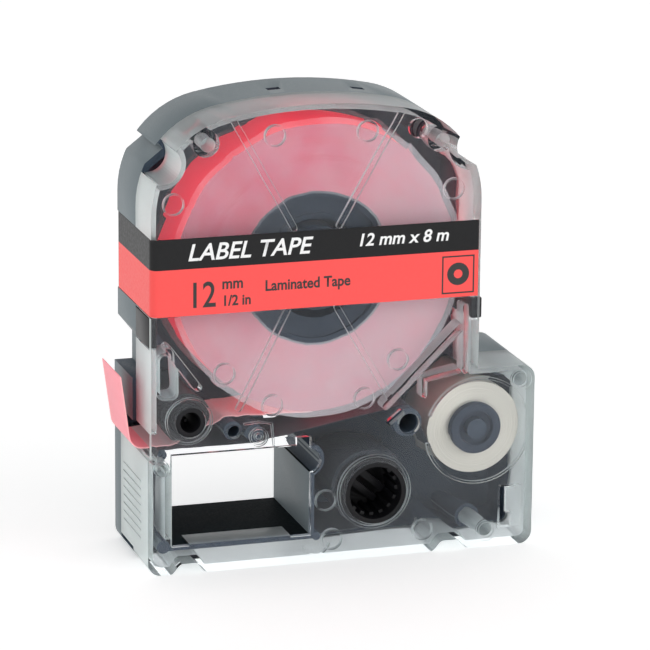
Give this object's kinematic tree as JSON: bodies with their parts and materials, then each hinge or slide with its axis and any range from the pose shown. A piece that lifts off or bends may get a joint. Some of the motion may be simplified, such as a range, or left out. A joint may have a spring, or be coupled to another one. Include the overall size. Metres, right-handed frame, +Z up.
{
  "type": "label tape cartridge",
  "caption": "Clear-fronted cartridge that feeds label tape from a roll past a platen roller and winds its ink ribbon from a supply reel to a take-up reel.",
  "frame": {"origin": "middle of the box's underside, on the surface that the foot stands on", "axes": "+Z up the cartridge, +Y from the clear front face to the back, +X to the right seen from the front"},
  "size_m": [0.0697, 0.0216, 0.0772],
  "materials": {
    "case_grey": "fine moulded satin",
    "cover_clear": "clear moulded polystyrene, frosted side walls",
    "latch_black": "matte",
    "label_print": "printed sticker, satin",
    "spring_steel": "drawn wire",
    "tape_red": "satin laminated film",
    "ribbon_black": "inked film",
    "core_slate": "moulded satin",
    "sheet_clear": "milky film",
    "hub_black": "moulded, slightly oily",
    "platen_rubber": "ground rubber",
    "film_beige": "edges of wound film"
  },
  "bodies": {
    "case": {"rear_case": "case_grey", "front_cover": "cover_clear", "latch_left": "latch_black", "latch_right": "latch_black", "product_label": "label_print", "core_spring": "spring_steel", "tape_run": "tape_red", "tape_tail": "tape_red", "ribbon_feed_run": "ribbon_black", "ribbon_return_run": "ribbon_black"},
    "tape_spool": {"tape_core": "core_slate", "tape_roll": "tape_red", "slip_sheet_front": "sheet_clear", "slip_sheet_rear": "sheet_clear"},
    "platen": {"platen_hub": "hub_black", "platen_rubber": "platen_rubber"},
    "ribbon_supply": {"supply_core": "core_slate", "supply_roll": "film_beige"},
    "ribbon_takeup": {"takeup_core": "hub_black", "takeup_roll": "ribbon_black"}
  },
  "joints": [
    {"name": "tape_roll_spin", "type": "hinge", "parent": "case", "child": "tape_spool", "pos_m": [-0.00178, 0, 0.0489], "axis": [0, 1, 0], "continuous": true},
    {"name": "platen_spin", "type": "hinge", "parent": "case", "child": "platen", "pos_m": [-0.02434, 0, 0.0256], "axis": [0, 1, 0], "continuous": true},
    {"name": "ribbon_supply_spin", "type": "hinge", "parent": "case", "child": "ribbon_supply", "pos_m": [0.02542, 0, 0.0201], "axis": [0, 1, 0], "continuous": true},
    {"name": "ribbon_takeup_spin", "type": "hinge", "parent": "case", "child": "ribbon_takeup", "pos_m": [0.00739, 0, 0.01095], "axis": [0, 1, 0], "continuous": true}
  ],
  "couplings": [
    {"joint": "platen_spin", "follows": "tape_roll_spin", "ratio": 5.6},
    {"joint": "ribbon_supply_spin", "follows": "tape_roll_spin", "ratio": 3.0327},
    {"joint": "ribbon_takeup_spin", "follows": "tape_roll_spin", "ratio": -3.6265}
  ]
}
